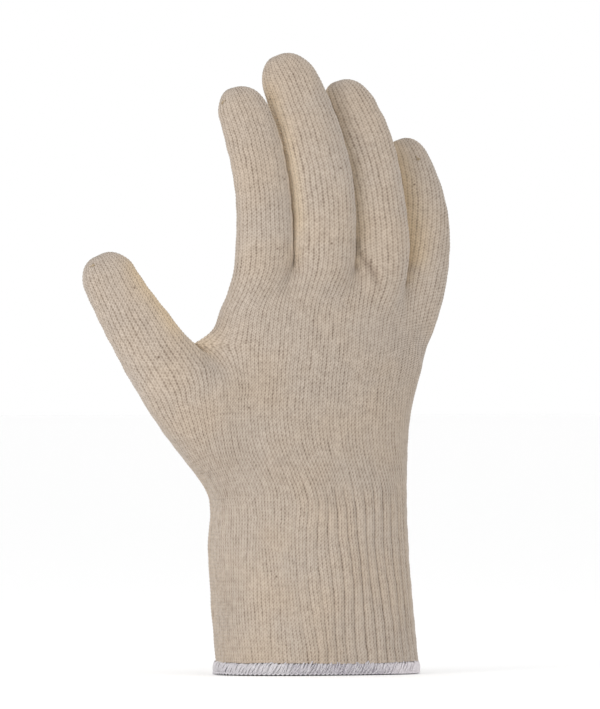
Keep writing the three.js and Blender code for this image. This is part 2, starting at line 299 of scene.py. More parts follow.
def centre_line(name, distance):
    """Places and axes on a digit's centre line, at distances from its root."""
    length = LENGTHS[name]
    fine = np.linspace(0, length, 300)
    steps = headings(name, (fine[1:] + fine[:-1]) / 2 / length)[0] * (fine[1] - fine[0])
    path = np.vstack([[0, 0, 0], np.cumsum(steps, axis=0)]) + ROOTS[name]
    along, across, deep = headings(name, np.clip(distance / length, 0, 1))
    place = np.stack([np.interp(distance, fine, path[:, k]) for k in range(3)], -1)
    return place + along * np.minimum(distance, 0)[..., None], along, across, deep


# %% [markdown]
# A finger is closed at its tip by linking its last stitches in a short line, so the tip is
# round from the front and from the side but never a point. Rows of stitches are spaced by the
# length of the surface, so they stay as tall over the tip as on the finger.

# %% The skin of a digit
TIP_LINE = 0.14
TAPER_FROM = 0.7
TAPER_TO = 0.95
ROOT_SLOPE = 14
ROOT_PULL = 8


def digit_profile(name):
    """Distance, half width and half depth along a digit, and the surface's length."""
    rows = THUMB_ROWS if name == "thumb" else FINGER_ROWS
    table = smooth_table(rows)
    length, width = LENGTHS[name], WIDTHS[name]
    depth = width * DEPTH_SHARES[name]
    base = rows["along"][-1]
    share = np.linspace(0, base, 160)
    turn = np.linspace(0, np.pi / 2, 80)[1:]
    distance = np.concatenate([share, base + (1 - base) * np.sin(turn)]) * length
    round_tip = rows["wide"][-1] * (TIP_LINE + (1 - TIP_LINE) * np.cos(turn))
    wide = np.concatenate([table["wide"](share), round_tip])
    deep = np.concatenate([table["deep"](share), rows["deep"][-1] * np.cos(turn)])
    even = np.linspace(0, 1, 600)
    walk = np.concatenate([[0], np.cumsum(np.hypot(np.diff(distance), np.diff(wide) * width / 2))])
    walk /= walk[-1]
    distance = np.interp(even, walk, distance)
    taper = 1 - TIP_TAPERS[name] * ease((distance / length - TAPER_FROM) / (TAPER_TO - TAPER_FROM))
    wide = np.interp(even, walk, wide) * width / 2 * taper
    deep = np.interp(even, walk, deep) * depth / 2
    reach = np.concatenate([[0], np.cumsum(np.hypot(np.diff(distance), np.diff(wide + deep) / 2))])
    return distance, wide, deep, reach


def digit_ring_ends(name, side):
    """The point where a digit's root meets its neighbour, on the +X or the -X side."""
    place, along, across, deep = centre_line(name, np.float64(0))
    return place + across * side * WIDTHS[name] / 2


CROTCHES = {
    pair: (digit_ring_ends(pair[0], 1) + digit_ring_ends(pair[1], -1)) / 2
    for pair in zip(FINGERS[:-1], FINGERS[1:])
}
WEB = np.array([-51.3, 3.6, WRIST_HEIGHT + 0.631 * PALM_LENGTH])
FIRST, SECOND, THIRD = CROTCHES.values()
MEETS = each((FIRST, None), (SECOND, FIRST), (THIRD, SECOND), (None, THIRD), (WEB, None))


def digit_skin(name, turns, courses):
    """Points of a digit's skin at shares of its oval, by courses above its root."""
    distance, wide, deep, reach = digit_profile(name)
    total = digit_courses(name)
    courses = np.asarray(courses, float)
    above = np.maximum(courses, 0)
    at = np.clip(courses / total, 0, 1) * reach[-1]
    d = (np.interp(at, reach, distance) + np.minimum(courses, 0) * COURSE)[:, None]
    half_wide = np.interp(at, reach, wide)[:, None]
    half_deep = np.interp(at, reach, deep)[:, None]
    spiral = TWISTS[name] * ease(above / total)
    x, y = oval(wide[0], deep[0], (np.asarray(turns, float)[None, :] + spiral[:, None]) % 1)
    x, y = x / wide[0], y / deep[0]
    shift = np.zeros_like(x)
    ends = []
    for side, meet in zip((1, -1), MEETS[name]):
        own = digit_ring_ends(name, side)
        target = own if meet is None else meet
        along = centre_line(name, np.float64(0))[1]
        rise = float((target - own) @ along)
        shift = shift + rise * (1 + side * x) / 2
        ends.append((side, target - own - rise * along))
    fade = np.clip(1 - above / ROOT_SLOPE, 0, 1)[:, None] ** 2
    place, along, across, through = centre_line(name, d + shift * fade)
    points = place + across * (half_wide * x)[..., None] + through * (half_deep * y)[..., None]
    near = np.clip(1 - above / ROOT_PULL, 0, 1)[:, None] ** 2
    for side, offset in ends:
        pull = np.clip(side * x, 0, 1) ** 4 * near
        points = points + pull[..., None] * offset
    return points


def digit_courses(name):
    return int(round(digit_profile(name)[3][-1] / COURSE))


print("courses", {name: digit_courses(name) for name in WALES})

# %% [markdown]
# The hand body has two parts. Below the thumb's crotch one tube holds the stitches of all five
# digits. Above it, the tube of four fingers runs on to the knuckles. Where a tube divides, its
# ring is pinched between two digits, so that front and back meet in the crotch.

# %% The skin of the hand body
WEB_UP = 0.65
FOUR = sum(WALES[name] for name in FINGERS)
FIVE = FOUR + WALES["thumb"]
HALF = FOUR // 2
BACK_START = HALF + WALES["thumb"]
HEEL_COURSES = 43
HAND_COURSES = 27


def finger_of_wale(wales):
    """For each wale of the four-finger tube: its finger, and its share round that finger."""
    names, turns = [], []
    for wale in wales:
        front = wale <= HALF
        rest = wale if front else wale - HALF
        order = FINGERS[::-1] if front else FINGERS
        for name in order:
            half = WALES[name] / 2
            if rest < half or name == order[-1]:
                break
            rest -= half
        names.append(name)
        turns.append(rest / half / 2 + (0 if front else 0.5))
    return np.array(names), np.array(turns)


# Where two fingers meet: wale of the edge, the finger and turn before it, and those after it
FINGER_EDGES = []
seen = 0
for names, ends in ((FINGERS[::-1], (0.5, 0.0)), (FINGERS, (1.0, 0.5))):
    for before, after in zip(names[:-1], names[1:]):
        seen += WALES[before] / 2
        FINGER_EDGES.append((seen, (before, ends[0]), (after, ends[1])))
    seen = HALF
print("finger edges", [edge for edge, _, _ in FINGER_EDGES])


def meet_halfway(offset, reach):
    """Shares of a jump to add on both sides of an edge, so that the two sides meet there."""
    near = np.clip(1 - np.abs(offset) / reach, 0, 1) ** 2
    return np.where(offset < 0, 0.5, -0.5) * near


SOFT_STEPS = 10
SOFT_WALES = 4.5


def soften(points, wales, edges, strength):
    """Round off, row by row, the creases that run down from where tubes meet."""
    smooth = blurred(points, SOFT_STEPS, 1)
    count = len(wales) / SPLIT
    gap = np.min([np.abs((wales - edge + count / 2) % count - count / 2) for edge in edges], axis=0)
    share = (bell(gap / SOFT_WALES)[None, :] * strength[:, None])[..., None]
    return points * (1 - share) + smooth * share


def hand_ring_rows(up, turns):
    return np.array([hand_place(height, *hand_oval(height, turns)) for height in np.atleast_1d(up)])


CORNER = hand_ring_rows(WEB_UP, np.array([0.5]))[0, 0]
HAND_ROUND = 205
PULL_WIDE = 7
PULL_TALL = 13


def web_pull(turns, distance):
    """How the tube's thumb edge is drawn out to the web, at these distances from it."""
    arc = np.abs(turns - 0.5) * HAND_ROUND
    share = bell(arc / PULL_WIDE)[None, :] * np.clip(1 - distance / PULL_TALL, 0, 1)[:, None] ** 2
    return share[..., None] * (WEB - CORNER)


STEM_REACH = 22
FINGER_PINCH = 5.0


def hand_skin(wales, courses):
    """Points of the four-finger tube, by its own wales and by courses above the web."""
    tall = (1 - WEB_UP) * PALM_LENGTH
    share = courses / HAND_COURSES
    turns = wales / FOUR
    body = hand_ring_rows(WEB_UP + (1 - WEB_UP) * share, turns) + web_pull(turns, np.abs(share) * tall)
    names, finger_turns = finger_of_wale(wales)
    stems = np.zeros_like(body)
    below = (share - 1) * tall / COURSE
    for name in FINGERS:
        stems[:, names == name] = digit_skin(name, finger_turns[names == name], below)
    for edge, (before, end), (after, start) in FINGER_EDGES:
        jump = digit_skin(after, [start], below) - digit_skin(before, [end], below)
        stems += meet_halfway(wales - edge, FINGER_PINCH)[None, :, None] * jump
    away = (1 - share) * tall
    weight = 1 - ease(away / STEM_REACH)[:, None, None]
    points = body * (1 - weight) + stems * weight
    strength = ease((away - 1) / 6) * ease(share / 0.3)
    return soften(points, wales, [edge for edge, _, _ in FINGER_EDGES], strength)


# %% [markdown]
# Below the web the same machine holds the thumb's stitches too, so the heel of the hand has 36
# wales more. The thumb's rows dip to its outside. The palm's wales run straight up the hand, and
# the spacing changes slowly where they meet the thumb's, because knit shares out any strain.

# %% The skin of the heel
THUMB_DROP = 16.1
THUMB_OVAL = (1, 0.8)
WRIST_CROWD = 0.3
STRAIGHT_FROM = 0.7
EDGE_SPREAD = 12
DIVIDE_FROM = 0.68
THUMB_PINCH = 7.0


def spread_turns(wales, up, share):
    """Turns of the five-finger tube's wales: even at share 0, the palm's straight up at 1."""
    grid = np.linspace(0, 0.5, 181)
    z = WRIST_HEIGHT + up * PALM_LENGTH
    hand_x = hand_oval(up, grid)[0] + PALM["side"](up) * KNUCKLE_WIDTH
    same = np.interp(-hand_x, -(body_oval(z, grid)[0] + BODY["side"](z)), grid)
    fine = np.arange(FIVE * 2) / 2
    palm = np.interp(fine / FOUR, grid, same)
    back = 1 - np.interp((FIVE - fine) / FOUR, grid, same)
    thumb = same[-1] + (1 - 2 * same[-1]) * (fine - HALF) / WALES["thumb"]
    moved = np.where(fine <= HALF, palm, np.where(fine >= BACK_START, back, thumb)) - fine / FIVE
    return wales / FIVE + np.interp(wales, fine, blurred(moved, EDGE_SPREAD, 0), period=FIVE) * share


def whole_row(t, wales, drop):
    """A row of the five-finger tube as one oval; t is its share of the heel's height."""
    up = WEB_UP * t
    turns = spread_turns(wales, up, WRIST_CROWD + (1 - WRIST_CROWD) * ease(t / STRAIGHT_FROM))
    height = up - drop * np.clip(t, 0, 1)
    level = np.clip(height, -0.05, WEB_UP)
    x, y = np.zeros_like(turns), np.zeros_like(turns)
    for one in np.unique(np.round(level, 4)):
        mine = np.round(level, 4) == one
        x[mine], y[mine] = body_oval(WRIST_HEIGHT + one * PALM_LENGTH, turns[mine])
    x += BODY["side"](WRIST_HEIGHT + level * PALM_LENGTH)
    a = np.clip((x - PALM["side"](up) * KNUCKLE_WIDTH) / (KNUCKLE_WIDTH / 2), -1, 1)
    return bowed(up, a, x, y, height)


def divided_row(t, wales, in_thumb, thumb_turns):
    """The same row where it divides: the hand's oval and the thumb's, drawn together."""
    away = np.array([(1 - t) * WEB_UP * PALM_LENGTH])
    row = np.zeros((len(wales), 3))
    palm_turns = np.where(wales <= HALF, wales, wales - WALES["thumb"])[~in_thumb] / FOUR
    edge_turn = np.array([0.5])
    row[~in_thumb] = (hand_ring_rows(WEB_UP * t, palm_turns) + web_pull(palm_turns, away))[0]
    row[in_thumb] = digit_skin("thumb", thumb_turns[in_thumb], -away / COURSE)[0]
    thumb_edge = digit_skin("thumb", [0.0], -away / COURSE)[0, 0]
    palm_edge = (hand_ring_rows(WEB_UP * t, edge_turn) + web_pull(edge_turn, away))[0, 0]
    gap = np.minimum(np.abs(wales - HALF), np.abs(wales - BACK_START)) * np.where(in_thumb, 1, -1)
    return row + meet_halfway(gap - 1e-6, THUMB_PINCH)[:, None] * (thumb_edge - palm_edge)


def heel_skin(wales, courses):
    """Points of the five-finger tube, by its wales and by courses above the wrist."""
    in_thumb = (wales > HALF) & (wales < BACK_START)
    thumb_turns = np.clip((wales - HALF) / WALES["thumb"], 0, 1)
    outside = (1 - oval(*THUMB_OVAL, thumb_turns)[0]) / 2
    drop = np.where(in_thumb, THUMB_DROP * outside, 0) / PALM_LENGTH
    share = courses / HEEL_COURSES
    rows = []
    for t in share:
        row, weight = whole_row(t, wales, drop), ease((t - DIVIDE_FROM) / (1 - DIVIDE_FROM))
        if weight > 0:
            row = row * (1 - weight) + divided_row(t, wales, in_thumb, thumb_turns) * weight
        rows.append(row)
    away = (1 - share) * WEB_UP * PALM_LENGTH
    strength = ease((away - 1) / 6) * (1 - ease((away - 18) / 14))
    return soften(np.array(rows), wales, [HALF, BACK_START], strength)


columns = np.arange(FIVE * SPLIT) / SPLIT
print("heel's width at the web", np.ptp(heel_skin(columns, np.array([HEEL_COURSES]))[0, :, 0]).round(1), "mm")


# %% [markdown]
# The wrist is knit with elastic thread and grips the arm. It is the plainest tube: one oval that
# hardly changes from the hem to the heel.

# %% The skin of the wrist
CUFF_COURSES = 46


def cuff_skin(wales, courses):
    turns = spread_turns(wales, 0.0, WRIST_CROWD)
    rows = []
    for z in HEM_HEIGHT + courses / CUFF_COURSES * CUFF_LENGTH:
        x, y = body_oval(z, turns)
        rows.append(np.stack([x + BODY["side"](z), y, np.full_like(x, z)], -1))
    return np.array(rows)


print("a course of the wrist", round(CUFF_LENGTH / CUFF_COURSES, 2), "mm")


# %% [markdown]
# The face of plain knit shows each stitch as a V: two legs that lean apart, with a hollow
# between the legs and another between neighbouring wales. The relief below is that V, read in
# wales and courses, so it bends with the fabric. On the wrist every third wale sinks, which
# makes the ribs.

# %% Relief of the stitches
LEG_RELIEF = 0.2
GRAIN_RELIEF = 0.09
RIB_RELIEF = 0.48
RIB_TOP = (66, 80)


def stitch_relief(wales, courses):
    across = wales - np.floor(wales)
    legs = (1 - np.cos(4 * np.pi * across)) / 2
    slant = np.abs(across - 0.5) * 2
    grains = np.cos(2 * np.pi * (courses - 0.5 * slant))
    return LEG_RELIEF * (legs - 0.5) + GRAIN_RELIEF * grains


def surface_normals(points):
    """Outward unit normals of a grid of points, in rows round a tube."""
    around = np.roll(points, -1, axis=1) - np.roll(points, 1, axis=1)
    normal = np.cross(around, np.gradient(points, axis=0))
    return normal / np.maximum(size_of(normal), 1e-9)[..., None]


grain = stitch_relief(np.arange(8)[None, :] / 8, np.arange(8)[:, None] / 8)
print("relief of a stitch", grain.min().round(2), "to", grain.max().round(2), "mm")


# %% [markdown]
# No hand-fed yarn lies quite straight. Slow waves, the sum of a few long sines in random
# directions, move the whole fabric a little, and the ribs of the wrist wander sideways by up
# to a millimetre. The waves depend on the place alone, so neighbouring tubes still meet.

# %% Slow waves in the fabric
chance = np.random.default_rng(7)


def make_waves(size, count, parts):
    """A smooth random field: size in millimetres, with this many parts to each value."""
    facing = chance.normal(size=(count, 3))
    facing *= 2 * np.pi / size * chance.uniform(0.6, 1.3, (count, 1)) / size_of(facing)[:, None]
    phase = chance.uniform(0, 2 * np.pi, (count, parts))
    weight = chance.normal(size=(count, parts)) / math.sqrt(count)

    def read(points):
        total = np.zeros(points.shape[:-1] + (parts,))
        for i in range(count):
            total += weight[i] * np.sin((points @ facing[i])[..., None] + phase[i])
        return total

    return read


WIDE_WAVES = make_waves(34, 9, 3)
SHORT_WAVES = make_waves(9, 12, 3)
SIDE_WAVES = make_waves(26, 10, 1)
WIDE_SWING = 0.3
SHORT_SWING = 0.13
SIDE_SWING = 0.9
print("waves at the thumb's crotch", WIDE_WAVES(WEB).round(2), SHORT_WAVES(WEB).round(2))


def disturb(points, around):
    """Move a grid of skin points by the waves; around is the size of a step round the tube."""
    share = 1 - ease((points[..., 2] - 60) / 42)
    steps = SIDE_WAVES(points)[..., 0] * share * SIDE_SWING / np.maximum(around, 0.05)
    base = np.floor(steps).astype(int)
    part = (steps - base)[..., None]
    row = np.arange(points.shape[0])[:, None]
    column = np.arange(points.shape[1])[None, :] + base
    count = points.shape[1]
    moved = points[row, column % count] * (1 - part) + points[row, (column + 1) % count] * part
    return moved + WIDE_WAVES(moved) * WIDE_SWING + SHORT_WAVES(moved) * SHORT_SWING


# %% [markdown]
# A glove has spare fabric at the roots of the fingers. Here a fold of it runs from the crotch
# between the middle and the ring finger across the ring finger's root. It is raised along its
# upper side and dips on the other, by the distance from a line drawn on the back of the hand.

# %% The fold
VIEW = math.radians(22)
VIEW_RIGHT = np.array([math.cos(VIEW), -math.sin(VIEW), 0])
VIEW_AHEAD = np.array([math.sin(VIEW), math.cos(VIEW), 0])
FOLD_LINE = np.array([
    (15.6, 172.5), (17.4, 168.0), (20.4, 164.4), (23.2, 160.6), (24.8, 156.0), (25.4, 151.5),
])
FOLD_STRENGTH = (0.3, 0.9, 1.0, 0.9, 0.6, 0.0)
FOLD_RISE = 0.7
FOLD_DIP = 0.6


def fold_field(points, normals):
    """Signed distance from the fold, and its strength there, on the back of the hand."""
    flat = np.stack([points @ VIEW_RIGHT, points[..., 2]], -1)
    fine = np.linspace(0, len(FOLD_LINE) - 1, 41)
    line = np.stack([np.interp(fine, np.arange(len(FOLD_LINE)), FOLD_LINE[:, k]) for k in range(2)], -1)
    power = np.interp(fine, np.arange(len(FOLD_LINE)), FOLD_STRENGTH)
    ahead = np.gradient(line, axis=0)
    ahead /= size_of(ahead)[:, None]
    best = np.full(points.shape[:-1], 1e9)
    signed = np.full(points.shape[:-1], 1e9)
    strength = np.zeros(points.shape[:-1])
    for place, along, share in zip(line, ahead, power):
        offset = flat - place
        distance = size_of(offset)
        side = np.sign(offset[..., 0] * along[1] - offset[..., 1] * along[0])
        closer = distance < best
        best = np.where(closer, distance, best)
        signed = np.where(closer, side * distance, signed)
        strength = np.where(closer, share, strength)
    return signed, strength * ease((-(normals @ VIEW_AHEAD) - 0.1) / 0.3)


print("fold", size_of(np.diff(FOLD_LINE, axis=0)).sum().round(), "mm long")

# %% [markdown]
# The sides of the fingers and the crotches are painted yellower, with lighter hollows: painted
# warm light where fingers shade each other. Where two fingers lie close, painted light takes
# the shade away. Both are measured at each point of the skin, for the material to read.

# %% The yellower sides
# Where round the digit the yellow side lies, how wide and how strong, and how far up it runs
WARM_SIDES = each(
    (0.0, 0.06, 0.8, 0.9), (0.5, 0.08, 1.0, 0.95), (0.5, 0.095, 1.0, 1.1), (0.53, 0.15, 1.1, 1.2),
    (0.94, 0.1, 1.25, 0.9),
)


def warmth(name, wales, courses, points):
    """How much yellower and lighter the yarn is painted, from 0 to 1, at each point of a tube."""
    warm = np.zeros(points.shape[:-1])
    for crotch, size in [(crotch, 4.5) for crotch in CROTCHES.values()] + [(WEB, 8)]:
        warm = np.maximum(warm, 0.6 * bell(size_of(points - crotch) / size))
    if name in WARM_SIDES:
        middle, wide, most, reach = WARM_SIDES[name]
        share = np.maximum(courses, 0) / digit_courses(name)
        turn = wales / WALES[name] + TWISTS[name] * ease(share)
        gap = np.abs((turn - middle + 0.5) % 1 - 0.5)
        side = most * bell(gap / wide) * ease(courses / 9)
        warm = np.maximum(warm, side * (1 - ease((share - reach + 0.25) / 0.25)))
    return warm


# Pairs of fingers with painted light between them: how strong it is, and how much wider it runs further up
CREVICE_LIGHTS = {("index_finger", "middle_finger"): (0.8, 0.45), ("middle_finger", "ring_finger"): (0.5, 0.1)}


def painted_crevice_light(name, points):
    """How much lighter the yarn is painted, from 0 to 1, at the web, the crotches and near a neighbouring
    finger.
    """
    close = 0.35 * bell(size_of(points - WEB) / 6)
    for pair, (most, wider) in CREVICE_LIGHTS.items():
        close = np.maximum(close, (1.4 - most) * bell(size_of(points - CROTCHES[pair]) / 3))
        if name not in pair:
            continue
        other = pair[0] if name == pair[1] else pair[1]
        distance, wide, deep, _ = digit_profile(other)
        stations = np.linspace(0, LENGTHS[other] * 0.86, 52)
        for at, place, along, across, through in zip(stations, *centre_line(other, stations)):
            offset = points - place
            half_deep = np.interp(at, distance, deep) + 1e-3
            sideways = np.abs(offset @ across / (np.interp(at, distance, wide) + 1e-3))
            inward = np.abs(offset @ through / half_deep)
            far = (sideways ** SQUARENESS + inward ** SQUARENESS) ** (1 / SQUARENESS)
            gap = np.hypot(np.maximum(far - 1, 0) * half_deep, offset @ along)
            reach = 1.6 + wider * ease((at - 14) / 18)
            close = np.maximum(close, most * bell(gap / reach))
    return close


# %% [markdown]
# Each tube starts as a flat grid, like a panel of knit laid on a table: its columns are wales
# and its rows are courses. The panel is then rolled on to its form. A coarser grid makes the
# inside of the fabric, and the two are bridged at the open ends and merged where they close.

# %% Roll a panel of knit into a tube
def only(*chosen):
    """Select these pieces and nothing else; the first is the active one."""
    bpy.ops.object.select_all(action="DESELECT")
    for piece in chosen:
        piece.select_set(True)
    bpy.context.view_layer.objects.active = chosen[0]


def rolled_panel(name, points, first, step, fields, inward):
    """A flat grid of stitches rolled on to these points, its two side edges sewn together."""
    rows, columns = points.shape[:2]
    bpy.ops.object.select_all(action="DESELECT")
    bpy.ops.mesh.primitive_grid_add(x_subdivisions=columns, y_subdivisions=rows - 1, size=2, calc_uvs=True)
    panel = bpy.context.object
    panel.name = panel.data.name = name
    mesh = panel.data
    flat = np.empty(len(mesh.vertices) * 3)
    mesh.vertices.foreach_get("co", flat)
    column = np.rint((flat[0::3] + 1) / 2 * columns).astype(int)
    row = np.rint((flat[1::3] + 1) / 2 * (rows - 1)).astype(int)
    mesh.vertices.foreach_set("co", (points[row, column % columns] * MM).ravel())
    layer = mesh.uv_layers[0]
    layer.name = "knit"
    uv = np.empty(len(mesh.loops) * 2)
    layer.uv.foreach_get("vector", uv)
    uv = uv.reshape(-1, 2) * (columns * step, (rows - 1) * step) + (0, first)
    layer.uv.foreach_set("vector", uv.ravel())
    for title, field in fields.items():
        values = field[row, column % columns]
        kind, key = ("FLOAT_VECTOR", "vector") if values.ndim == 2 else ("FLOAT", "value")
        mesh.attributes.new(title, kind, "POINT").data.foreach_set(key, values.ravel())
    ends = np.where(row == 0, 1, np.where(row == rows - 1, 2, 0))
    mesh.attributes.new("end", "FLOAT", "POINT").data.foreach_set("value", ends)
    only(panel)
    bpy.ops.object.mode_set(mode="EDIT")
    bpy.ops.mesh.select_all(action="SELECT")
    bpy.ops.mesh.remove_doubles(threshold=1e-7)
    if inward:
        bpy.ops.mesh.flip_normals()
    bpy.ops.object.mode_set(mode="OBJECT")
    return panel


def bridge_end(piece, end):
    """Close the cut edge between the two faces of the knit, at its first (1) or last (2) row."""
    mesh = piece.data
    which = np.empty(len(mesh.vertices))
    mesh.attributes["end"].data.foreach_get("value", which)
    pairs = np.empty(len(mesh.edges) * 2, int)
    mesh.edges.foreach_get("vertices", pairs)
    bpy.ops.object.mode_set(mode="EDIT")
    bpy.ops.mesh.select_mode(type="EDGE")
    bpy.ops.mesh.select_all(action="DESELECT")
    bpy.ops.object.mode_set(mode="OBJECT")
    mesh.edges.foreach_set("select", (which[pairs.reshape(-1, 2)] == end).all(axis=1))
    bpy.ops.object.mode_set(mode="EDIT")
    bpy.ops.mesh.bridge_edge_loops()
    bpy.ops.object.mode_set(mode="OBJECT")


def fold_back(panel):
    """The last row with every front stitch laid on the back stitch that it is linked to."""
    return (panel[-1] + panel[-1][-np.arange(panel.shape[1])]) / 2


print("panels are rolled, joined and bridged")

# %% [markdown]
# A tube needs both faces of its fabric: the front with its stitches, and a plain back that the
# hand feels. The shading follows the surface of the front, so that even this small relief reads
# as yarn, and values for the material travel with each point.

# %% Make a tube
def tube_fields(digit, columns, rows, points, outer, from_fold, fold_share):
    """What the material and the normals need to know at each point of a tube."""
    return {
        "warm": warmth(digit, columns[None, :], rows[:, None], points),
        # The fold's painted shade line
        "shade": fold_share * bell((from_fold - 0.3) / 1.5),
        "close": painted_crevice_light(digit, points),
        "facing": surface_normals(outer),
    }


def make_tube(name, skin, wales, first, last, ribbed=False, digit=None):
    """A tube of knit from course to course: a fine outer panel, a coarse lining and rims."""
    columns = np.arange(wales * SPLIT) / SPLIT
    rows = first + np.arange(-1, (last - first) * SPLIT + 2) / SPLIT
    points = skin(columns, rows)
    points = disturb(points, size_of(np.roll(points, -1, axis=1) - points))
    normals = surface_normals(points)
    lift = stitch_relief(columns[None, :], rows[:, None])
    if ribbed:
        lift = lift + rib_relief(columns[None, :], points)
    from_fold, fold_share = fold_field(points, normals)
    lift = lift + fold_share * (FOLD_RISE * bell((from_fold + 2.8) / 2.6) - FOLD_DIP * bell(from_fold / 1.6))
    outer = points + normals * lift[..., None]
    fields = tube_fields(digit, columns, rows, points, outer, from_fold, fold_share)
    outer, inner = outer[1:-1], (points - normals * KNIT_THICKNESS)[1:-1][::SPLIT, ::SPLIT]
    fields = {title: field[1:-1] for title, field in fields.items()}
    lining_fields = {title: field[::SPLIT, ::SPLIT] for title, field in fields.items()}
    lining_fields["facing"] = -normals[1:-1][::SPLIT, ::SPLIT]
    if digit:
        inner = inner[:-1]
        lining_fields = {title: field[:-1] for title, field in lining_fields.items()}
        outer[-1], inner[-1] = fold_back(outer), fold_back(inner)
        fields["facing"][-1] = lining_fields["facing"][-1] = 0
    piece = rolled_panel(name, outer, first, 1 / SPLIT, fields, False)
    only(piece, rolled_panel(name + "_lining", inner, first, 1, lining_fields, True))
    bpy.ops.object.join()
    for end in (1,) if digit else (1, 2):
        bridge_end(piece, end)
    bpy.ops.object.shade_smooth()
    mesh = piece.data
    facing = np.empty(len(mesh.vertices) * 3)
    mesh.attributes["facing"].data.foreach_get("vector", facing)
    mesh.normals_split_custom_set_from_vertices(facing.reshape(-1, 3).tolist())
    for title in ("facing", "end"):
        mesh.attributes.remove(mesh.attributes[title])
    print(name, "triangles", triangles(piece))
    return piece


def triangles(piece):
    return sum(len(face.vertices) - 2 for face in piece.data.polygons)


# %% [markdown]
# Every third wale of the wrist sinks between two ribs. The ribs show most where the fabric is
# least stretched, on the little finger's side and inside the arm, and each ends at a height of
# its own. The machine knits digit by digit and takes the digits' stitches up for the hand. The
# two longest tubes are made in halves, to keep each piece small.

# %% Knit every tube
RIB_STARTS = chance.uniform(-4, 4, FIVE // RIB_WALES)
HEEL_SPLIT = 22
CUFF_SPLIT = CUFF_COURSES // 2


def rib_relief(wales, points):
    start = RIB_STARTS[np.rint(wales / RIB_WALES).astype(int) % len(RIB_STARTS)]
    share = 1 - ease((points[..., 2] - RIB_TOP[0] - start) / (RIB_TOP[1] - RIB_TOP[0]))
    slack = np.maximum(ease((points[..., 0] + 22) / 34), ease((points[..., 1] - 4) / 14))
    groove = np.abs((wales / RIB_WALES + 0.5) % 1 - 0.5) * RIB_WALES
    return RIB_RELIEF * (0.3 - bell(groove / 0.5)) * share * (0.3 + 0.7 * slack)


pieces = {}
for name in DIGITS:
    pieces[name] = make_tube(
        name + "_knit", lambda columns, rows, n=name: digit_skin(n, columns / WALES[n], rows),
        WALES[name], 0, digit_courses(name), digit=name,
    )
pieces["hand_knit"] = make_tube("hand_knit", hand_skin, FOUR, 0, HAND_COURSES)
for name, skin, first, last in (
    ("heel_knit_low", heel_skin, 0, HEEL_SPLIT), ("heel_knit_high", heel_skin, HEEL_SPLIT, HEEL_COURSES),
    ("cuff_knit_low", cuff_skin, 0, CUFF_SPLIT), ("cuff_knit_high", cuff_skin, CUFF_SPLIT, CUFF_COURSES),
):
    pieces[name] = make_tube(name, skin, FIVE, first, last, ribbed=True)

# %% [markdown]
# Undyed cotton yarn is a warm cream. Most of its colour in a knit comes from light and shade
# between the stitches: the legs of a stitch catch the light, and small dark hollows lie between
# the wales and in each V. The material reads the knit's own UV map, in wales and courses, so the
# hollows sit where the modelled stitches have them. Fine noise stands for fibres, broad noise
# for uneven yarn, and a few stitches hold a brown fleck of seed husk.

# %% Helpers for node trees
class Value:
    """A number or a colour in a node tree. Its sums and products are math nodes."""

    def __init__(self, socket):
        self.socket = socket

    def math(self, operation, *others):
        tree = self.socket.id_data
        node = tree.nodes.new("ShaderNodeMath")
        node.operation = operation
        for value, socket in zip((self, *others), node.inputs):
            wire(value, socket)
        return Value(node.outputs[0])

    def __add__(self, other):
        return self.math("ADD", other)

    def __sub__(self, other):
        return self.math("SUBTRACT", other)

    def __mul__(self, other):
        return self.math("MULTIPLY", other)

    def __pow__(self, other):
        return self.math("POWER", other)


def wire(value, socket):
    """Link a value to a socket, or set the socket to a number or a colour."""
    if isinstance(value, Value):
        socket.id_data.links.new(value.socket, socket)
    else:
        socket.default_value = (*value, 1) if isinstance(value, tuple) else value


class Fabric:
    """A new material, with short ways to add nodes to its tree."""

    def __init__(self, name):
        self.material = bpy.data.materials.new(name)
        self.material.use_nodes = True
        self.tree = self.material.node_tree

    def add(self, kind, output, inputs, **settings):
        """A node with these inputs and settings; its output of that name or number."""
        node = self.tree.nodes.new(kind)
        for key, value in settings.items():
            setattr(node, key, value)
        for key, value in inputs.items():
            wire(value, node.inputs[key])
        return Value(node.outputs[output])

    def noise(self, vector, scale, detail=2.0, rough=0.5):
        inputs = {"Vector": vector, "Scale": scale, "Detail": detail, "Roughness": rough}
        return self.add("ShaderNodeTexNoise", "Fac", inputs)

    def mix(self, share, first, second):
        return self.add("ShaderNodeMix", 2, {0: share, 6: first, 7: second}, data_type="RGBA")

    def ramp(self, value, low, high):
        inputs = {"Value": value, "From Min": low, "From Max": high}
        return self.add("ShaderNodeMapRange", 0, inputs, interpolation_type="SMOOTHSTEP")

    def parts(self, vector):
        first = self.add("ShaderNodeSeparateXYZ", 0, {0: vector})
        return [Value(socket) for socket in first.socket.node.outputs]

    def finish(self, colour, height, depth, strength=1.0, roughness=0.92, sheen=0.0, gloss=0.2):
        """Give the shader its colour, its bump and the sheen of its fuzz."""
        shader = self.tree.nodes["Principled BSDF"]
        shader.inputs["Roughness"].default_value = roughness
        shader.inputs["Sheen Weight"].default_value = sheen
        shader.inputs["Sheen Roughness"].default_value = 0.5
        shader.inputs["Specular IOR Level"].default_value = gloss
        bump = {"Distance": depth, "Strength": strength, "Height": height}
        wire(colour, shader.inputs["Base Color"])
        wire(self.add("ShaderNodeBump", "Normal", bump), shader.inputs["Normal"])
        print(self.material.name, "nodes", len(self.tree.nodes))
        return self.material


# %% Cotton knit
YARN_LIGHT = (0.5, 0.418, 0.342)
YARN_WARM = (0.475, 0.38, 0.287)
YARN_COOL = (0.43, 0.374, 0.32)
YARN_YELLOW = (0.64, 0.49, 0.315)
YARN_CREVICE_LIGHT = (0.88, 0.76, 0.6)
GAP = (0.15, 0.106, 0.073)
FLECK = (0.09, 0.05, 0.027)


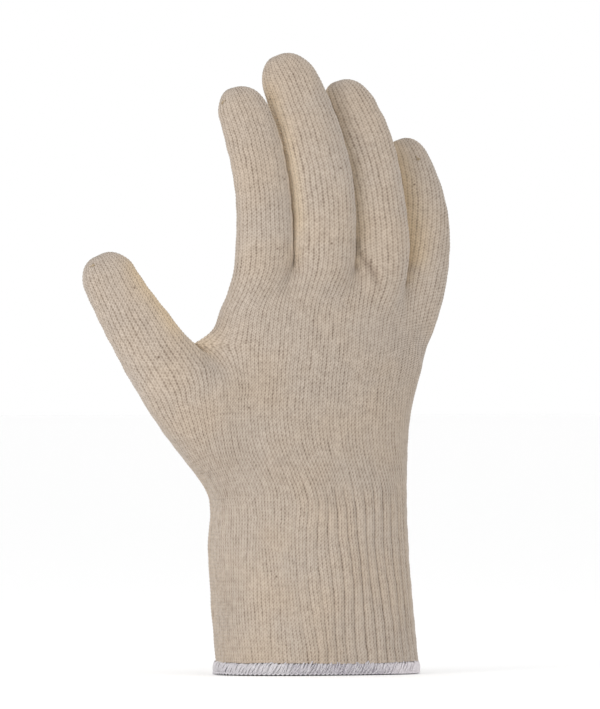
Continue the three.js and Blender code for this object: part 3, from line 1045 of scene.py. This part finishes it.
# Sizes of the noises, as scales of a place in metres
BEND_SCALE = 1100
SWAY_SCALE = 260
FIBRE_SCALE = 2600
UNEVEN_SCALE = 520
BROAD_SCALE = 42
FLECK_SHARE = 0.0012


def knit_material(name, ribs):
    made = Fabric(name)
    uv = made.add("ShaderNodeUVMap", "UV", {}, uv_map="knit")
    place = made.add("ShaderNodeTexCoord", "Object", {})
    wale, course, _ = made.parts(uv)
    x, y, z = made.parts(place)

    # Yarn that is not quite straight
    bend = made.noise(place, BEND_SCALE) - 0.5
    sway = made.noise(place, SWAY_SCALE) - 0.5
    u = wale + (bend * 0.35 + sway * 0.3)
    v = course + (bend * 0.6 + sway * 0.8)

    # Painted shade in the hollows between the wales and in the middle of each V, and a painted highlight on
    # the legs beside them
    turn = (u * (2 * math.pi)).math("COSINE")
    beat = (v * (2 * math.pi)).math("COSINE")
    between = (turn * 0.5 + 0.5) ** 1.8
    middle = (turn * -0.5 + 0.5) ** 4.0
    legs = ((u * (4 * math.pi)).math("COSINE") * -0.5 + 0.5) ** 2.0
    high = beat * 0.5 + 0.5
    low = beat * -0.5 + 0.5

    # Some wales gape and others are tight
    line = made.add("ShaderNodeCombineXYZ", 0, {0: wale.math("ROUND") * 7.3, 1: course * 0.09})
    gape = (made.noise(line, 1.0, 1.0) - 0.5) * 1.3 + 0.8
    holes = between * gape * (high * 0.36 + 0.42) + middle * (low * 0.4 + 0.02) - legs * low * 0.1

    # Fibres, uneven yarn and broad patches
    fibre = made.noise(place, FIBRE_SCALE, 3.0, 0.7) - 0.5
    uneven = made.noise(place, UNEVEN_SCALE, 3.0, 0.6) - 0.5
    broad = made.ramp(made.noise(place, BROAD_SCALE, 3.0), 0.3, 0.7)
    shade = holes + (fibre * 0.75 + (uneven * 0.8 + 0.07))
    if ribs:
        # Painted shade in the grooves between the ribs, and the wrist painted lighter towards the hem
        rib = (((wale + sway * 0.3) * (2 * math.pi / RIB_WALES)).math("COSINE") * 0.5 + 0.5) ** 4.0
        slack = made.ramp(x, -0.022, 0.012).math("MAXIMUM", made.ramp(y, 0.004, 0.018))
        number = wale.math("DIVIDE", RIB_WALES).math("ROUND")
        own = made.add("ShaderNodeTexWhiteNoise", "Value", {"W": number}, noise_dimensions="1D")
        top = made.ramp(z + (own * 0.009 - 0.0045), RIB_TOP[1] * MM, RIB_TOP[0] * MM)
        shade = shade - made.ramp(z, 0.082, 0.062) * 0.085 + rib * (top * (slack * 0.75 + 0.25)) * 0.24

    # Painted warm light on the yellow sides, the fold's painted shade, and painted light between fingers
    warm, fold_shade, close = (
        made.add("ShaderNodeAttribute", "Fac", {}, attribute_name=title)
        for title in ("warm", "shade", "close")
    )
    shade = shade * (warm.math("MAXIMUM", fold_shade) * -0.25 + 1.0) + fold_shade * 0.46
    shade = shade.math("MAXIMUM", 0.0).math("MINIMUM", 1.0) * (close * -0.6 + 1.0)
    yarn = made.mix(0.45, YARN_LIGHT, made.mix(broad, YARN_WARM, YARN_COOL))
    yarn = made.mix(close, made.mix(warm * 0.9, yarn, YARN_YELLOW), YARN_CREVICE_LIGHT)
    colour = made.mix(shade, yarn, GAP)

    # Flecks of seed husk in a few stitches
    stitch = made.add("ShaderNodeVectorMath", 0, {0: uv}, operation="FLOOR")
    cell = made.add("ShaderNodeTexWhiteNoise", "Value", {"Vector": stitch}, noise_dimensions="2D")
    across, along = ((value.math("FRACT") * math.pi).math("SINE") for value in (wale, course))
    rare = cell.math("GREATER_THAN", 1 - FLECK_SHARE)
    colour = made.mix(rare * ((across * along) ** 2.0 * 0.8), colour, FLECK)
    return made.finish(colour, fibre * 0.6 - holes, 0.0004, strength=0.6, sheen=0.3)


cotton = knit_material("knit_cotton", False)
ribbed_cotton = knit_material("ribbed_cotton", True)
for key, piece in pieces.items():
    piece.data.materials.append(ribbed_cotton if "heel" in key or "cuff" in key else cotton)

# %% [markdown]
# The machine ends each digit with the yarn knotted off near the tip. The knot is small, a
# millimetre or two across, a little darker than the fabric, with one short end left over. It is
# made once as a bevelled curve in the shape of an overhand knot, and copied to each digit.

# %% Closing knots at the tips
# Where each knot sits, in turns round the digit and courses above its root, and its spin
KNOTS = each((0.56, 48.0, 20), (0.2, 60.0, 70), (0.3, 57.0, -40), (0.63, 40.0, 100), (0.61, 34.0, 160))
KNOT_SIZE = 0.6
YARN = 0.26
KNOT_LIGHT = (0.44, 0.35, 0.24)
KNOT_DARK = (0.26, 0.195, 0.13)

turn = np.linspace(0, 2 * np.pi, 30, endpoint=False) + 0.3
knot_path = 0.34 * np.stack([
    np.sin(turn) + 2 * np.sin(2 * turn), np.cos(turn) - 2 * np.cos(2 * turn), 0.45 - np.sin(3 * turn) * 0.7,
], -1)
tail = [np.linspace(0.4, 3.0, 6), 0.25 * np.sin(np.linspace(0, 3, 6)), np.linspace(0.3, 0.02, 6)]
knot_path = np.vstack([knot_path, np.transpose(tail)])


def thread_piece(name, points, radius, closed=True):
    """A thread along these points, as a mesh."""
    curve = bpy.data.curves.new(name, "CURVE")
    curve.dimensions = "3D"
    curve.bevel_depth = radius * MM
    curve.bevel_resolution = 1
    curve.use_fill_caps = not closed
    path = curve.splines.new("POLY")
    path.points.add(len(points) - 1)
    path.points.foreach_set("co", np.hstack([points * MM, np.ones((len(points), 1))]).ravel())
    path.use_cyclic_u = closed
    piece = bpy.data.objects.new(name, curve)
    bpy.context.collection.objects.link(piece)
    only(piece)
    bpy.ops.object.convert(target="MESH")
    bpy.ops.object.shade_smooth()
    return bpy.context.object


knot = thread_piece("knot", knot_path, YARN, closed=False)
knots = []
for name, (turn_share, course, spin) in KNOTS.items():
    near = digit_skin(name, turn_share + np.array([-0.01, 0, 0.01]), course + np.array([-0.5, 0, 0.5]))
    near = disturb(near, np.full(near.shape[:2], 0.4))
    sideways = near[1, 2] - near[1, 0]
    outward = np.cross(sideways, near[2, 1] - near[0, 1])
    outward /= np.linalg.norm(outward)
    sideways /= np.linalg.norm(sideways)
    onward = np.cross(outward, sideways)
    c, d = math.cos(math.radians(spin)), math.sin(math.radians(spin))
    axes = np.array([c * sideways + d * onward, -d * sideways + c * onward, outward])
    only(knot)
    bpy.ops.object.duplicate()
    copy = bpy.context.object
    copy.name = copy.data.name = name + "_knot"
    corners = np.array([v.co for v in copy.data.vertices]) * KNOT_SIZE @ axes
    corners += (near[1, 1] + outward * 0.1) * MM
    copy.data.vertices.foreach_set("co", corners.ravel())
    knots.append(copy)
bpy.data.objects.remove(knot)
print("knots", [piece.name for piece in knots])

made = Fabric("knot_yarn")
fluff = made.noise(made.add("ShaderNodeTexCoord", "Object", {}), 2200, 3.0, 0.7)
knot_yarn = made.finish(made.mix(made.ramp(fluff, 0.35, 0.7), KNOT_LIGHT, KNOT_DARK), fluff, 0.0002)
for piece in knots:
    piece.data.materials.clear()
    piece.data.materials.append(knot_yarn)
    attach(piece, "root")

# %% [markdown]
# The cut edge of the wrist is sewn over with a soft white overlock seam. Its threads wind round
# the edge in slanted loops that lean both ways and cross, and one thread runs along the edge.
# Each thread is a bevelled curve, made a mesh once its path is right. The rolled edge under the
# threads is a round band, so no gap shows through them.

# %% Overlock edge
HEM_TURNS = 118
THREAD = 0.34
EDGE_INSET = 1.0
LOOP_STEPS = 14
BAND_STEPS = 240

# Each thread: its name, which way it winds, its phase, how far out it reaches, how thick it is
LOOPS = (
    ("loop_right", 1, 0.0, 1.42, 1.0), ("loop_left", -1, 0.3, 1.5, 1.0),
    ("loop_third", 1, 0.55, 1.55, 0.85), ("loop_fourth", -1, 0.8, 1.6, 0.75),
)


def edge_ring(turns, out, height):
    """Points round the wrist's edge: out is outward from the middle of the fabric."""
    x, y = oval(CUFF_WIDTH / 2, CUFF_DEPTH / 2, turns % 1)
    ahead_x, ahead_y = oval(CUFF_WIDTH / 2, CUFF_DEPTH / 2, (turns + 0.0005) % 1)
    step = np.hypot(ahead_x - x, ahead_y - y)
    normal = np.stack([(ahead_y - y) / step, -(ahead_x - x) / step], -1)
    flat = np.stack([x, y], -1) + normal * (out - EDGE_INSET)[..., None]
    return np.stack([flat[..., 0], flat[..., 1], height], -1)


def wound_path(direction, phase, reach):
    """A thread that winds round the edge, leaning to one side, a little different each time."""
    t = np.arange(HEM_TURNS * LOOP_STEPS) / LOOP_STEPS
    halves = np.arange(2 * HEM_TURNS + 1) / 2
    jitter, tall = (np.interp(t, halves, np.append(chance.normal(0, 1, 2 * HEM_TURNS), 0)) for _ in range(2))
    angle = 2 * np.pi * (t + phase)
    turns = direction * (t + 0.32 * jitter) / HEM_TURNS + 0.8 / HEM_TURNS * np.sin(angle)
    out = (reach + 0.13 * jitter) * signed_power(np.cos(angle), 0.9)
    rise = 2.22 * signed_power(np.sin(angle), 0.8)
    height = 2.7 + rise + np.where(rise > 0, 0.4, 0.05) * tall
    return edge_ring(turns, out, np.maximum(height, THREAD))


bpy.ops.object.select_all(action="DESELECT")
bpy.ops.mesh.primitive_torus_add(
    major_segments=BAND_STEPS, minor_segments=14, major_radius=1, minor_radius=0.25,
)
band = bpy.context.object
band.name = "hem_band"
spots = np.array([v.co for v in band.data.vertices])
turns = (np.arctan2(spots[:, 1], spots[:, 0]) / (2 * np.pi)) % 1
lift = spots[:, 2] / 0.25
bulge = (np.hypot(spots[:, 0], spots[:, 1]) - 1) / 0.25
spots = edge_ring(turns, 1.15 * signed_power(bulge, 0.6), 2.55 + 2.1 * signed_power(lift, 0.75))
band.data.vertices.foreach_set("co", (spots * MM).ravel())
bpy.ops.object.shade_smooth()

threads = [
    thread_piece(name, wound_path(direction, phase, reach), THREAD * thick)
    for name, direction, phase, reach, thick in LOOPS
]
along = np.arange(HEM_TURNS * 8) / (HEM_TURNS * 8)
wave = 2 * np.pi * along * HEM_TURNS
edge_line = edge_ring(along, 1.35 + 0.25 * np.cos(wave), 0.75 + 0.3 * np.sin(wave))
threads.append(thread_piece("edge_thread", edge_line, THREAD))
only(band, *threads)
bpy.ops.object.join()
hem = bpy.context.object
hem.name = hem.data.name = "hem_overlock_thread"
print(hem.name, "triangles", triangles(hem))

# %% [markdown]
# Overlock thread is textured: many loose white filaments that look soft and scatter the light.
# Dust settles in its fluff, most where the edge is handled, so patches of it are greyer.

# %% Overlock thread finish
THREAD_WHITE = (0.56, 0.54, 0.555)
THREAD_PAINTED_LIGHT = (0.74, 0.7, 0.72)
THREAD_SHADE = (0.25, 0.215, 0.27)

made = Fabric("overlock_thread")
place = made.add("ShaderNodeTexCoord", "Object", {})
side, depth, height = made.parts(place)
fluff = made.noise(place, 1900, 3.0, 0.7)
worn = made.noise(place, 160, 2.0)
rubbed = made.ramp(side, -0.026, -0.008) * made.ramp(side, 0.034, 0.016) * made.ramp(depth, 0.0, -0.014)
grime = made.ramp(worn, 0.35, 0.65) * 0.5 + rubbed * 0.65
# The little finger's side is painted whiter: painted light where the lamps reach the thread less.
painted_light_side = made.mix(made.ramp(side, 0.008, 0.036), THREAD_WHITE, THREAD_PAINTED_LIGHT)
thread_colour = made.mix(made.ramp(fluff, 0.38, 0.72) * grime, painted_light_side, THREAD_SHADE)
white_thread = made.finish(thread_colour, fluff, 0.0003, roughness=0.85, sheen=0.2, gloss=0.25)
hem.data.materials.clear()
hem.data.materials.append(white_thread)
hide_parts("hem_overlock")
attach(hem, "root")

# %% [markdown]
# Each skin takes the place of the plain solid under it. The hand and the heel stand for the palm
# together, and the two halves of the wrist for the cuff.

# %% Hand the skins over
REPLACED = {"hand": "palm", "heel": "palm", "cuff": "cuff"}
for key, piece in pieces.items():
    node = key if key in DIGITS else REPLACED[key[:4]]
    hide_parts(node)
    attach(piece, "root")
    "rib_knit" if node == "cuff" else "knit"
print("triangles in all", sum(triangles(piece) for piece in [*pieces.values(), *knots, hem]))

# %% [markdown]
# The photograph is a catalogue picture on white, taken from far away and level with the glove,
# towards the back of the hand and a little from the thumb's side. Soft light comes from all
# round, with a little more from the thumb's side. A white world and two wide lamps give that.

# %% Floor, lights and camera
FLOOR_WHITE = (0.985, 0.985, 0.985, 1)
DISTANCE = 5.0
PICTURE_ROWS = 709
PIXEL = 0.0004
CENTRE_U = -6.6 * MM
CENTRE_Z = 127.8 * MM
AIM = Vector((0, 0, 0.12))

bpy.ops.object.select_all(action="DESELECT")
bpy.ops.mesh.primitive_plane_add(size=40, location=(0, 0, -0.0001))
floor = bpy.context.object
floor.name = "floor"
pale = bpy.data.materials.new("pale_floor")
pale.use_nodes = True
pale.node_tree.nodes["Principled BSDF"].inputs["Base Color"].default_value = FLOOR_WHITE
pale.node_tree.nodes["Principled BSDF"].inputs["Roughness"].default_value = 0.9
floor.data.materials.append(pale)

scene = bpy.context.scene
world = scene.world or bpy.data.worlds.new("World")
scene.world = world
scene.view_settings.view_transform = "Standard"
world.use_nodes = True
world.node_tree.nodes["Background"].inputs["Color"].default_value = (1, 1, 1, 1)
world.node_tree.nodes["Background"].inputs["Strength"].default_value = 1.0

for name, place, size, watts in (("key", (-1.2, -0.7, 0.5), 0.8, 8), ("front", (-0.1, -1.4, 0.35), 0.9, 2.8)):
    light = bpy.data.lights.new(name, "AREA")
    light.size = size
    light.energy = watts
    lamp = bpy.data.objects.new(name, light)
    bpy.context.collection.objects.link(lamp)
    lamp.location = place
    lamp.rotation_euler = (AIM - Vector(place)).to_track_quat("-Z", "Y").to_euler()

lens = bpy.data.cameras.new("camera")
lens.sensor_fit = "VERTICAL"
lens.sensor_height = 24
lens.lens = lens.sensor_height * DISTANCE / (PICTURE_ROWS * PIXEL)
lens.clip_end = 50
camera = bpy.data.objects.new("camera", lens)
bpy.context.collection.objects.link(camera)
camera.location = VIEW_RIGHT * CENTRE_U + np.array([0, 0, CENTRE_Z]) - VIEW_AHEAD * DISTANCE
camera.rotation_euler = (math.pi / 2, 0, -VIEW)
scene.camera = camera
print("picture", round(PICTURE_ROWS * PIXEL / MM), "mm tall")
